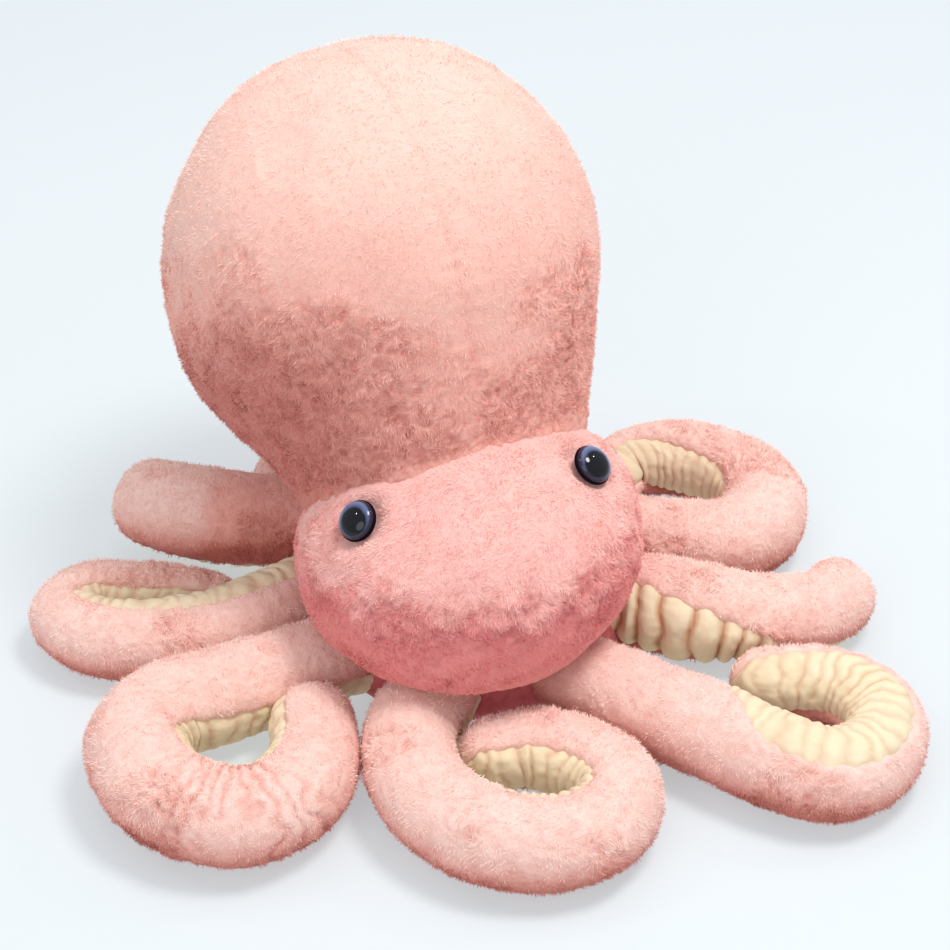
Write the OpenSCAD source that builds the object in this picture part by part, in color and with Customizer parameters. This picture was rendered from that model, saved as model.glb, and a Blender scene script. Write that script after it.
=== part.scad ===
// Stuffed octopus: a rounded head on a weighted trunk, a large balloon-shaped
// mantle behind it and eight curled arms, each with a gathered cream strip sewn
// along the inside of its curl.
// +Z up, the face looks towards -Y, the origin is on the ground under the middle.

/* [Mantle] */
// Radius of the round part of the mantle
mantle_r = 87; // [84:0.5:88]
// Radius of the mantle's neck end
neck_r = 62; // [58:1:64]
// Tilt of the mantle's axis from vertical, in degrees
mantle_tilt = 36; // [33:1:38]

/* [Head] */
// Half width of the head
head_a = 70; // [67:0.5:70]
// Half height of the head
head_c = 57; // [54:0.5:57]
// Sideways lean of the head, in degrees
head_lean = 14; // [10:1:15]

/* [Fabric] */
// Thickness of the plush skin with its pile pressed flat
wall = 2.5; // [2:0.1:3]
// Half of the angle that the cream strip covers round an arm, in degrees
strip_half = 47; // [35:1:52]

/* [Trunk] */
// Radius of the trunk's band
trunk_r = 51; // [49:0.5:51]
// Radius of the flat round panel underneath
base_r = 45; // [40:0.5:45]
// Thickness of the flat panel underneath
base_t = 2.5; // [2:0.1:2.6]

/* [Eyes] */
// Diameter of a safety eye
eye_d = 16.5; // [15:0.5:17]
// Height of the clear dome
eye_h = 6.4; // [5:0.1:7]
// Diameter of the stem behind the eye
stem_d = 4.2; // [3.5:0.1:4.4]
// Diameter of the lock washer
washer_d = 17; // [14:0.5:18]

/* [Hidden] */
// Moves the whole figure so that its outline is centred on the origin
shift = [4.3, 24.9, 0];
// Middle of the trunk, the head's middle, the neck's turning point, the mantle's middle
trunk_c = [-2, -8, 0];
head_m = [-2, -38, 62];
neck_p = [0, -38, 51];
mantle_m = [-37.5, 40, 150];
neck_gap_r = 72.8;
mantle_az = 119;
seam_az = 175;
floor_z = 41;
gap = 0.3;
split_y = -22;

// Eyes: place on the head, tilt from vertical and azimuth of the axis
eye_l = [[-43.7, -66.1, 97.5], 46, -138];
eye_r = [[44.2, -45, 107.8], 40, -28];

pink = [0.96, 0.73, 0.69];
rose = [0.86, 0.47, 0.48];
cream = [0.88, 0.81, 0.68];
white = [0.94, 0.94, 0.92];

// Centre lines of the arms, from the trunk out to the tip. Each row is
// x, y, z, radius, direction of the strip round the arm in degrees, where 0 is
// to the left of the way out, 90 is up, 180 is right and 270 is down.
front_left = [
  [-43.5, -43, 17.8, 17.5, -15], [-53, -51, 18.3, 18, -15], [-74, -63, 18.8, 18.5, -15],
  [-98, -77, 19.8, 19.5, -15], [-120, -88, 20.6, 20.3, -15], [-130, -108, 20.8, 20.5, -10],
  [-118.5, -132.5, 20.8, 20.5, 0], [-92, -145.5, 20.3, 20, 0], [-71, -136.5, 19.3, 19, 0],
  [-62.5, -117.5, 17.8, 17.5, 0], [-63, -98, 16.3, 16, 0]];
front = [
  [-12.6, -62.6, 17.8, 17.5, 0], [-15, -74, 18.3, 18, 0], [-23, -93, 19.3, 19, 0],
  [-24.5, -115, 19.3, 19, 0], [-16, -137, 19.3, 19, 0], [3, -153, 19.3, 19, 10],
  [28, -158, 18.8, 18.5, 10], [49, -147, 18.3, 18, 0], [54, -128, 17.8, 17.5, -10],
  [42, -113, 17.3, 17, -10], [24, -106, 16.3, 16, -10], [10, -106, 14.8, 14.5, -10]];
front_right = [
  [32.9, -53.3, 17.8, 17.5, -10], [40, -63, 18.3, 18, -10], [56, -75.5, 18.8, 18.5, -5],
  [76, -88, 19.3, 19, 5], [96, -100.5, 19.3, 19, 30], [115, -114, 18.8, 18.5, 55],
  [136, -121, 18.3, 18, 65], [153, -112, 17.8, 17.5, 70], [159, -92, 17.3, 17, 70],
  [150, -74, 16.3, 16, 60], [134, -65, 15.3, 15, 45], [118, -62, 13.3, 13, 30]];
right = [
  [55.5, -15.8, 17.8, 17.5, 160], [68, -19, 19.3, 19, 165], [89, -26, 20.3, 20, 180],
  [112, -28, 18.3, 18, 200], [135, -26, 17.3, 17, 225], [151, -15, 15.3, 15, 240],
  [152, -2, 12.3, 12, 250]];
rear_right = [
  [47.5, 21.7, 17.8, 17.5, 200], [60, 27, 17.8, 17.5, 205], [82, 22, 18.8, 18.5, 215],
  [104, 19, 19.3, 19, 240], [121, 30, 19.3, 19, 280], [126, 50, 18.8, 18.5, 320],
  [117, 68, 18.3, 18, 350], [101, 79, 17.8, 17.5, 362], [82, 84, 16.8, 16.5, 378],
  [66, 79, 15.3, 15, 405], [61, 66, 13.3, 13, 430]];
rear_left = [
  [-44.7, 25.7, 19.8, 17.5, 270], [-56, 31, 21.8, 18, 270], [-76, 29.5, 23.8, 19.5, 270],
  [-99, 28, 25, 20.5, 270], [-121, 33, 25, 20.5, 270], [-137, 40, 24, 19.5, 270]];
left = [
  [-56, -9, 17.8, 17.5, 120], [-68, -12, 17.8, 17.5, 120], [-86, -26, 18.3, 18, 130],
  [-106, -38, 18.3, 18, 135], [-130, -42, 17.8, 17.5, 140], [-154, -39, 16.8, 16.5, 150],
  [-169, -25, 15.3, 15, 160], [-161, -9, 14.3, 14, 170], [-142, -6, 13.3, 13, 180],
  [-124, -6.5, 12.8, 12.5, 180], [-110, -7, 10.8, 10.5, 180]];
rear = [
  [-13.5, 46.3, 17.8, 17.5, 0], [-17, 59, 17.8, 17.5, 0], [-27, 77, 17.8, 17.5, 0],
  [-46, 91, 17.3, 17, 0], [-68, 92, 15.3, 15, 0], [-84, 80, 13.3, 13, 0],
  [-89, 66, 11.3, 11, 0]];

// Where a sleeve ends and where an arm's free tip part starts, counted in rows
cut_fl = 2.12; curl_fl = 5;
cut_f = 2.6;   curl_f = 5;
cut_fr = 2.3;  curl_fr = 6;
cut_r = 1.25;
cut_l = 1.3;

// ---- arms ----
// A smooth curve through the rows of P; u counts rows
function mix4(a, b, c, d, t) =
  0.5 * (2 * b + (c - a) * t + (2 * a - 5 * b + 4 * c - d) * t * t + (3 * b - a - 3 * c + d) * t * t * t);
function at(P, u) =
  let (n = len(P) - 1, i = max(0, min(floor(u), n - 1)),
       a = i > 0 ? P[i - 1] : 2 * P[0] - P[1],
       d = i + 2 <= n ? P[i + 2] : 2 * P[n] - P[n - 1])
  mix4(a, P[i], P[i + 1], d, u - i);
function way(P, u) =
  let (d = at(P, u + 0.02) - at(P, u - 0.02), v = [d[0], d[1], d[2]]) v / norm(v);

// One ring station: centre, left vector, up vector, radius, strip direction, swell factor
// f is the angle round the end of the tip, 0 along the arm
function station(P, u, off, f) =
  let (q = at(P, u), t = way(P, u), l = [-t[1], t[0], 0] / norm([t[0], t[1]]))
  [[q[0], q[1], q[2]] + t * (off + q[3] * sin(f)), l, cross(t, l), q[3], q[4], f];
function stations(P, u0, u1, n, tip) = concat(
  [for (k = [0:n]) station(P, u0 + (u1 - u0) * k / n, k == 0 ? gap : (k == n && !tip ? -gap : 0), 0)],
  tip ? [for (f = [32, 58, 78]) station(P, u1, 0, f)] : []);
function spot(s, r, a) = s[0] + r * (cos(a) * s[1] + sin(a) * s[2]);

// Outer and inner radius of a skin at a station
function r_out(s) = s[3] * cos(s[5]);
function r_in(s) =
  s[5] == 0 ? s[3] - wall
  : min(r_out(s) - 0.8, sqrt(max(0.6, pow(s[3] - wall, 2) - pow(s[3] * sin(s[5]), 2))));

// A swept shell that covers the angles a0 to a1 from the strip's direction, in m steps
module swept_shell(S, a0, a1, m) {
  k = 2 * (m + 1);
  n = len(S);
  pts = [for (s = S) each concat(
    [for (i = [0:m]) spot(s, r_out(s), s[4] + a0 + (a1 - a0) * i / m)],
    [for (i = [m:-1:0]) spot(s, r_in(s), s[4] + a0 + (a1 - a0) * i / m)])];
  sides = [for (j = [0:n - 2]) for (i = [0:k - 1]) let (a = j * k + i, b = j * k + (i + 1) % k)
    each [[a, a + k, b], [b, a + k, b + k]]];
  near = [for (i = [0:m - 1]) each [[i, i + 1, k - 1 - i], [i + 1, k - 2 - i, k - 1 - i]]];
  z = (n - 1) * k;
  far = [for (i = [0:m - 1]) each [[z + i, z + k - 1 - i, z + i + 1], [z + i + 1, z + k - 1 - i, z + k - 2 - i]]];
  polyhedron(pts, concat(sides, near, far), convexity = 8);
}

// A swept solid core, m sides
module swept_core(S, m) {
  n = len(S);
  function rc(s) = s[5] == 0 ? s[3] - wall - 1.2 : (s[3] - wall - 1.2) * cos(s[5]) * 0.86;
  function c(s) = s[5] == 0 ? s[0] : s[0] - cross(s[1], s[2]) * (wall + 0.9) * sin(s[5]);
  pts = [for (s = S) each [for (i = [0:m - 1])
    c(s) + rc(s) * (cos(360 * i / m + s[4]) * s[1] + sin(360 * i / m + s[4]) * s[2])]];
  sides = [for (j = [0:n - 2]) for (i = [0:m - 1]) let (a = j * m + i, b = j * m + (i + 1) % m)
    each [[a, a + m, b], [b, a + m, b + m]]];
  near = [for (i = [1:m - 2]) [0, i, i + 1]];
  z = (n - 1) * m;
  far = [for (i = [1:m - 2]) [z, z + i + 1, z + i]];
  polyhedron(pts, concat(sides, near, far), convexity = 4);
}

module skin(P, u0, u1, n, tip) {
  color(pink) translate(shift)
    swept_shell(stations(P, u0, u1, n, tip), strip_half + 3, 357 - strip_half, 9);
}
module strip(P, u0, u1, n, tip) {
  color(cream) translate(shift)
    swept_shell(stations(P, u0, u1, n, tip), -strip_half, strip_half, 4);
}
module stuffing(P, u0, u1, n, tip) {
  color(white) translate(shift) swept_core(stations(P, u0, u1, n, tip), 10);
}
// Short sleeve that stays on the trunk, closed by one seam underneath
module sleeve(P, u1) {
  S = [for (s = stations(P, 0, u1, 4, false)) [s[0], s[1], s[2], s[3], 270, 0]];
  color(pink) translate(shift) swept_shell(S, 1.5, 358.5, 12);
}
module sleeve_core(P, u1) {
  S = [for (s = stations(P, 0, u1, 4, false)) [s[0], s[1], s[2], s[3], 0, 0]];
  swept_core(S, 10);
}

module front_left_sleeve() { sleeve(front_left, cut_fl); }
module front_sleeve() { sleeve(front, cut_f); }
module front_right_sleeve() { sleeve(front_right, cut_fr); }
module right_sleeve() { sleeve(right, cut_r); }
module left_sleeve() { sleeve(left, cut_l); }
module sleeve_stuffing() {
  color(white) translate(shift) {
    sleeve_core(front_left, cut_fl);
    sleeve_core(front, cut_f);
    sleeve_core(front_right, cut_fr);
    sleeve_core(right, cut_r);
    sleeve_core(left, cut_l);
  }
}

module front_left_arm_skin() { skin(front_left, cut_fl, curl_fl, 8, false); }
module front_left_arm_strip() { strip(front_left, cut_fl, curl_fl, 8, false); }
module front_left_arm_stuffing() { stuffing(front_left, cut_fl, curl_fl, 8, false); }
module front_left_tip_skin() { skin(front_left, curl_fl, 10, 12, true); }
module front_left_tip_strip() { strip(front_left, curl_fl, 10, 12, true); }
module front_left_tip_stuffing() { stuffing(front_left, curl_fl, 10, 12, true); }

module front_arm_skin() { skin(front, cut_f, curl_f, 7, false); }
module front_arm_strip() { strip(front, cut_f, curl_f, 7, false); }
module front_arm_stuffing() { stuffing(front, cut_f, curl_f, 7, false); }
module front_tip_skin() { skin(front, curl_f, 11, 14, true); }
module front_tip_strip() { strip(front, curl_f, 11, 14, true); }
module front_tip_stuffing() { stuffing(front, curl_f, 11, 14, true); }

module front_right_arm_skin() { skin(front_right, cut_fr, curl_fr, 9, false); }
module front_right_arm_strip() { strip(front_right, cut_fr, curl_fr, 9, false); }
module front_right_arm_stuffing() { stuffing(front_right, cut_fr, curl_fr, 9, false); }
module front_right_tip_skin() { skin(front_right, curl_fr, 11, 12, true); }
module front_right_tip_strip() { strip(front_right, curl_fr, 11, 12, true); }
module front_right_tip_stuffing() { stuffing(front_right, curl_fr, 11, 12, true); }

module right_arm_skin() { skin(right, cut_r, 6, 11, true); }
module right_arm_strip() { strip(right, cut_r, 6, 11, true); }
module right_arm_stuffing() { stuffing(right, cut_r, 6, 11, true); }

module rear_right_arm_skin() { skin(rear_right, 0, 10, 22, true); }
module rear_right_arm_strip() { strip(rear_right, 0, 10, 22, true); }
module rear_right_arm_stuffing() { stuffing(rear_right, 0, 10, 22, true); }

module rear_left_arm_skin() { skin(rear_left, 0, 5, 10, true); }
module rear_left_arm_strip() { strip(rear_left, 0, 5, 10, true); }
module rear_left_arm_stuffing() { stuffing(rear_left, 0, 5, 10, true); }

module left_arm_skin() { skin(left, cut_l, 10, 20, true); }
module left_arm_strip() { strip(left, cut_l, 10, 20, true); }
module left_arm_stuffing() { stuffing(left, cut_l, 10, 20, true); }

module rear_arm_skin() { skin(rear, 0, 6, 14, true); }
module rear_arm_strip() { strip(rear, 0, 6, 14, true); }
module rear_arm_stuffing() { stuffing(rear, 0, 6, 14, true); }

// ---- trunk ----
module base_panel() {
  color(cream) translate(shift + trunk_c) cylinder(h = base_t, r = base_r, $fn = 96);
}
module root_band() {
  color(pink) translate(shift + trunk_c) rotate_extrude($fn = 96) polygon([
    [base_r + 0.8, 0.4], [trunk_r - 2, 1.6], [trunk_r, 5], [trunk_r, 36], [trunk_r - 2, 39.4],
    [trunk_r - 5, 40.4], [trunk_r - 5, 38], [trunk_r - wall, 35], [trunk_r - wall, 6],
    [base_r + 0.8, 3.2]]);
}
module pellet_bag() {
  color(white) translate(shift + trunk_c) rotate_extrude($fn = 96) polygon([
    [0, 3.2], [36, 3.2], [41, 6], [43, 10], [41, 14.5], [36, 17], [0, 17.6]]);
}
module trunk_stuffing() {
  color(white) translate(shift + trunk_c) rotate_extrude($fn = 96) polygon([
    [0, 18.2], [37, 17.8], [44, 19], [trunk_r - wall - 1, 24], [trunk_r - wall - 1, 34],
    [trunk_r - 6, 38], [trunk_r - 6, 40], [0, 40]]);
}

// ---- head ----
module head_egg(d) {
  translate(head_m) rotate([0, -head_lean, 0]) rotate_extrude($fn = 96)
    polygon([for (b = [-90:6:90]) [(head_a - d) * cos(b), (head_c - d) * sin(b)]]);
}
module above(z) { translate([-150, -200, z]) cube([300, 300, 200]); }
module eye_place(e) { translate(e[0]) rotate([0, 0, e[2]]) rotate([0, e[1], 0]) children(); }
module head_shell() {
  difference() {
    intersection() { head_egg(0); above(floor_z); }
    intersection() { head_egg(wall); above(floor_z + wall); }
    for (e = [eye_l, eye_r]) eye_place(e) {
      translate([0, 0, -12]) cylinder(h = 14, r = stem_d / 2 + 0.15, $fn = 48);
      translate([0, 0, 0.2]) cylinder(h = 12, r = eye_d / 2 + 0.3, $fn = 64);
    }
  }
}
module face_panel() {
  color(rose) translate(shift) intersection() {
    head_shell();
    translate([-150, split_y - 0.2 - 200, 0]) cube([300, 200, 200]);
  }
}
module head_back_panel() {
  color(pink) translate(shift) intersection() {
    head_shell();
    translate([-150, split_y + 0.2, 0]) cube([300, 200, 200]);
  }
}
module head_stuffing() {
  color(white) translate(shift) difference() {
    intersection() { head_egg(wall + 0.6); above(floor_z + wall + 0.4); }
    for (e = [eye_l, eye_r]) eye_place(e) translate([0, 0, -14])
      cylinder(h = 20, r = washer_d / 2 + 0.6, $fn = 48);
  }
}

// Clear half-round cap over the printed iris; the pupil is the stem part's black
// boss, seen through the iris ring
module eye_dome(e) {
  color([0.75, 0.8, 0.85, 0.4]) translate(shift) eye_place(e) rotate_extrude($fn = 72)
    polygon([[0, 2.1], [eye_d / 2 - 1.6, 2.1], [eye_d / 2 - 1.6, 1.9], [eye_d / 2 - 0.5, 1.9],
      [eye_d / 2 - 0.5, 2.4], for (b = [20:10:80]) [(eye_d / 2 - 0.5) * cos(b), 1.6 + (eye_h - 1.6) * sin(b)],
      [0, eye_h]]);
}
module eye_iris(e) {
  color([0.42, 0.52, 0.66]) translate(shift) eye_place(e) translate([0, 0, 1.6])
    difference() {
      cylinder(h = 0.3, r = eye_d / 2 - 1.8, $fn = 72);
      translate([0, 0, -1]) cylinder(h = 3, r = eye_d / 2 - 3.6, $fn = 72);
    }
}
module eye_back(e) {
  color([0.08, 0.06, 0.08]) translate(shift) eye_place(e) rotate_extrude($fn = 72)
    polygon([[0, -12], [stem_d / 2 - 0.6, -12], [stem_d / 2, -11], [stem_d / 2, 0.3],
      [eye_d / 2 - 1, 0.3], [eye_d / 2, 0.8], [eye_d / 2, 1.8], [eye_d / 2 - 0.45, 1.8],
      [eye_d / 2 - 0.45, 1.5], [eye_d / 2 - 3.7, 1.5], [eye_d / 2 - 3.7, 2], [0, 2]]);
}
module eye_washer(e) {
  color(white) translate(shift) eye_place(e) translate([0, 0, -8])
    difference() {
      cylinder(h = 1.6, r = washer_d / 2, $fn = 48);
      translate([0, 0, -1]) cylinder(h = 4, r = stem_d / 2 + 0.05, $fn = 48);
    }
}
module left_eye_dome() { eye_dome(eye_l); }
module left_eye_iris() { eye_iris(eye_l); }
module left_eye_back() { eye_back(eye_l); }
module left_eye_washer() { eye_washer(eye_l); }
module right_eye_dome() { eye_dome(eye_r); }
module right_eye_iris() { eye_iris(eye_r); }
module right_eye_back() { eye_back(eye_r); }
module right_eye_washer() { eye_washer(eye_r); }

// ---- mantle ----
module in_mantle() {
  translate(mantle_m) rotate([0, 0, mantle_az]) rotate([0, mantle_tilt, 0]) children();
}
module mantle_form(d) {
  in_mantle() rotate_extrude($fn = 96) polygon(concat(
    [for (b = [90:-7:-22]) [(mantle_r - d) * cos(b), (mantle_r - d) * sin(b)]],
    [[neck_r - d, -80], [0, -80]]));
}
module mantle_shell() {
  difference() {
    mantle_form(0);
    in_mantle() rotate_extrude($fn = 96) polygon(concat(
      [for (b = [90:-7:-22]) [(mantle_r - wall) * cos(b), (mantle_r - wall) * sin(b)]],
      [[neck_r - wall, -80], [neck_r - wall, -90], [0, -90]]));
    translate(neck_p) sphere(r = neck_gap_r, $fn = 96);
  }
}
module mantle_half(side) {
  intersection() {
    mantle_shell();
    in_mantle() rotate([0, 0, seam_az]) translate([-120, side > 0 ? 0.15 : -120.15, -120]) cube([240, 120, 240]);
  }
}
module mantle_left_panel() { color(pink) translate(shift) mantle_half(-1); }
module mantle_right_panel() { color(pink) translate(shift) mantle_half(1); }
module mantle_stuffing() {
  color(white) translate(shift) difference() {
    mantle_form(wall + 0.5);
    translate(neck_p) sphere(r = neck_gap_r + 0.6, $fn = 96);
  }
}

base_panel();
root_band();
pellet_bag();
trunk_stuffing();
sleeve_stuffing();
front_left_sleeve();
front_sleeve();
front_right_sleeve();
right_sleeve();
left_sleeve();
face_panel();
head_back_panel();
head_stuffing();
left_eye_dome();
left_eye_iris();
left_eye_back();
left_eye_washer();
right_eye_dome();
right_eye_iris();
right_eye_back();
right_eye_washer();
mantle_left_panel();
mantle_right_panel();
mantle_stuffing();
front_left_arm_skin();
front_left_arm_strip();
front_left_arm_stuffing();
front_left_tip_skin();
front_left_tip_strip();
front_left_tip_stuffing();
front_arm_skin();
front_arm_strip();
front_arm_stuffing();
front_tip_skin();
front_tip_strip();
front_tip_stuffing();
front_right_arm_skin();
front_right_arm_strip();
front_right_arm_stuffing();
front_right_tip_skin();
front_right_tip_strip();
front_right_tip_stuffing();
right_arm_skin();
right_arm_strip();
right_arm_stuffing();
rear_right_arm_skin();
rear_right_arm_strip();
rear_right_arm_stuffing();
rear_left_arm_skin();
rear_left_arm_strip();
rear_left_arm_stuffing();
left_arm_skin();
left_arm_strip();
left_arm_stuffing();
rear_arm_skin();
rear_arm_strip();
rear_arm_stuffing();
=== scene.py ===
import math

import bpy
import numpy as np
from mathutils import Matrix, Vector


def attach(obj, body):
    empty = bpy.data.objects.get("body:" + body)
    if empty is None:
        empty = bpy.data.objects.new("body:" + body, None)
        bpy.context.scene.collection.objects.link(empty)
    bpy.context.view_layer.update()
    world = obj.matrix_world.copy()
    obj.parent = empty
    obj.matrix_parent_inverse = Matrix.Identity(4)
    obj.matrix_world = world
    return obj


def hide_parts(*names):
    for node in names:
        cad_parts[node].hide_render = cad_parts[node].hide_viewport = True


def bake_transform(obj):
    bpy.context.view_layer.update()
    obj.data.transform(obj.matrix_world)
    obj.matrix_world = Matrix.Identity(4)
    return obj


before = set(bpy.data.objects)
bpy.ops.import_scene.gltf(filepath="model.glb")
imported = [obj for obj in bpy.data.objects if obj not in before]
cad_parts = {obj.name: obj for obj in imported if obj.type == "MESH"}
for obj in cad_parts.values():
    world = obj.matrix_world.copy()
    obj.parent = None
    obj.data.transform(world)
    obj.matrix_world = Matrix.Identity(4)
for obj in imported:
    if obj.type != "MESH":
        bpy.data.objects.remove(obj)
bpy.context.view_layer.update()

SH = np.array([4.3, 24.9, 0.0])      # the figure's shift onto its origin, mm
MM = 0.001

# ---------------------------------------------------------------- camera
cam_data = bpy.data.cameras.new("camera")
cam = bpy.data.objects.new("camera", cam_data)
bpy.context.scene.collection.objects.link(cam)
ELEV = math.radians(37)
target = Vector((SH[0], SH[1], 70)) * MM
cam.location = target + Vector((0, -math.cos(ELEV), math.sin(ELEV)))
cam.rotation_euler = (math.pi / 2 - ELEV, 0, 0)
cam_data.sensor_width = 36
cam_data.lens = 2450 * 36 / 950
cam_data.clip_end = 50
bpy.context.scene.camera = cam

# ---------------------------------------------------------------- noise and small maths

def _hash(ix, iy, iz, seed):
    h = (ix.astype(np.uint64) * np.uint64(73856093)) ^ (iy.astype(np.uint64) * np.uint64(19349663)) ^ (iz.astype(np.uint64) * np.uint64(83492791))
    h = (h + np.uint64(seed * 7919 + 13)) & np.uint64(0xFFFFFFFF)
    h = ((h ^ (h >> np.uint64(15))) * np.uint64(2246822519)) & np.uint64(0xFFFFFFFF)
    h = ((h ^ (h >> np.uint64(13))) * np.uint64(3266489917)) & np.uint64(0xFFFFFFFF)
    return ((h ^ (h >> np.uint64(16))) & np.uint64(0xFFFFFF)).astype(np.float64) / float(0xFFFFFF)


def noise(p, size, seed=0):
    """Smooth value noise from -1 to 1 at points p (..., 3) in mm, one cell is size mm."""
    q = p / size + 1000.0
    i = np.floor(q).astype(np.int64)
    f = q - i
    f = f * f * f * (f * (f * 6 - 15) + 10)
    out = 0
    for dx in (0, 1):
        wx = f[..., 0] if dx else 1 - f[..., 0]
        for dy in (0, 1):
            wy = f[..., 1] if dy else 1 - f[..., 1]
            for dz in (0, 1):
                wz = f[..., 2] if dz else 1 - f[..., 2]
                out = out + wx * wy * wz * _hash(i[..., 0] + dx, i[..., 1] + dy, i[..., 2] + dz, seed)
    return out * 2 - 1


def step(x, a, b):
    t = np.clip((x - a) / (b - a), 0, 1)
    return t * t * (3 - 2 * t)


def clumps(p, seed):
    """Matted pile: small curled tufts, about 3 mm across, from about -1 to 1."""
    w = np.stack([noise(p, 6.0, seed + 1), noise(p, 6.0, seed + 2), noise(p, 6.0, seed + 3)], -1)
    q = p + 2.6 * w
    a = noise(q, 4.2, seed + 4)
    b = 0.7 - 1.9 * np.abs(noise(q, 3.4, seed + 5))
    c = noise(p + 1.2 * w, 2.1, seed + 6)
    d = noise(p, 1.25, seed + 7)
    return 0.42 * a + 0.34 * b + 0.36 * c + 0.22 * d


def nap(p, seed):
    """Fine short pile, well under a millimetre."""
    return 0.6 * noise(p, 1.9, seed + 11) + 0.4 * noise(p, 1.1, seed + 12)


# ---------------------------------------------------------------- mesh helpers

def make_mesh(name, verts_mm, faces, attrs=None, smooth=True):
    me = bpy.data.meshes.new(name)
    v = np.ascontiguousarray((verts_mm * MM).astype(np.float32))
    quads = np.asarray(faces[0], np.int32).reshape(-1, 4) if len(faces[0]) else np.zeros((0, 4), np.int32)
    tris = np.asarray(faces[1], np.int32).reshape(-1, 3) if len(faces) > 1 and len(faces[1]) else np.zeros((0, 3), np.int32)
    nq, nt = len(quads), len(tris)
    me.vertices.add(len(v))
    me.vertices.foreach_set("co", v.ravel())
    me.loops.add(nq * 4 + nt * 3)
    me.loops.foreach_set("vertex_index", np.concatenate([quads.ravel(), tris.ravel()]).astype(np.int32))
    me.polygons.add(nq + nt)
    start = np.concatenate([np.arange(nq) * 4, nq * 4 + np.arange(nt) * 3]).astype(np.int32)
    me.polygons.foreach_set("loop_start", start)
    try:
        me.polygons.foreach_set("loop_total", np.concatenate([np.full(nq, 4), np.full(nt, 3)]).astype(np.int32))
    except Exception:
        pass
    me.update(calc_edges=True)
    me.validate()
    if smooth:
        me.polygons.foreach_set("use_smooth", np.ones(len(me.polygons), bool))
    for k, a in (attrs or {}).items():
        at = me.attributes.new(k, "FLOAT", "POINT")
        at.data.foreach_set("value", np.asarray(a, np.float32).ravel())
    me.update()
    ob = bpy.data.objects.new(name, me)
    bpy.context.scene.collection.objects.link(ob)
    return ob


def grid_faces(nu, nv, wrap_v, base=0):
    i = np.arange(nu - 1)[:, None]
    j = np.arange(nv if wrap_v else nv - 1)[None, :]
    a = i * nv + j
    b = i * nv + (j + 1) % nv
    c = (i + 1) * nv + (j + 1) % nv
    d = (i + 1) * nv + j
    return (np.stack([a, b, c, d], -1).reshape(-1, 4) + base)


def fan(ring, centre, flip):
    n = len(ring)
    nxt = np.roll(ring, -1)
    t = np.stack([np.full(n, centre), ring, nxt], -1) if not flip else np.stack([np.full(n, centre), nxt, ring], -1)
    return t


# ---------------------------------------------------------------- materials

def lin(r, g, b):
    f = lambda c: (c / 255 / 12.92) if c / 255 <= 0.04045 else ((c / 255 + 0.055) / 1.055) ** 2.4
    return (f(r), f(g), f(b), 1)


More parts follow.
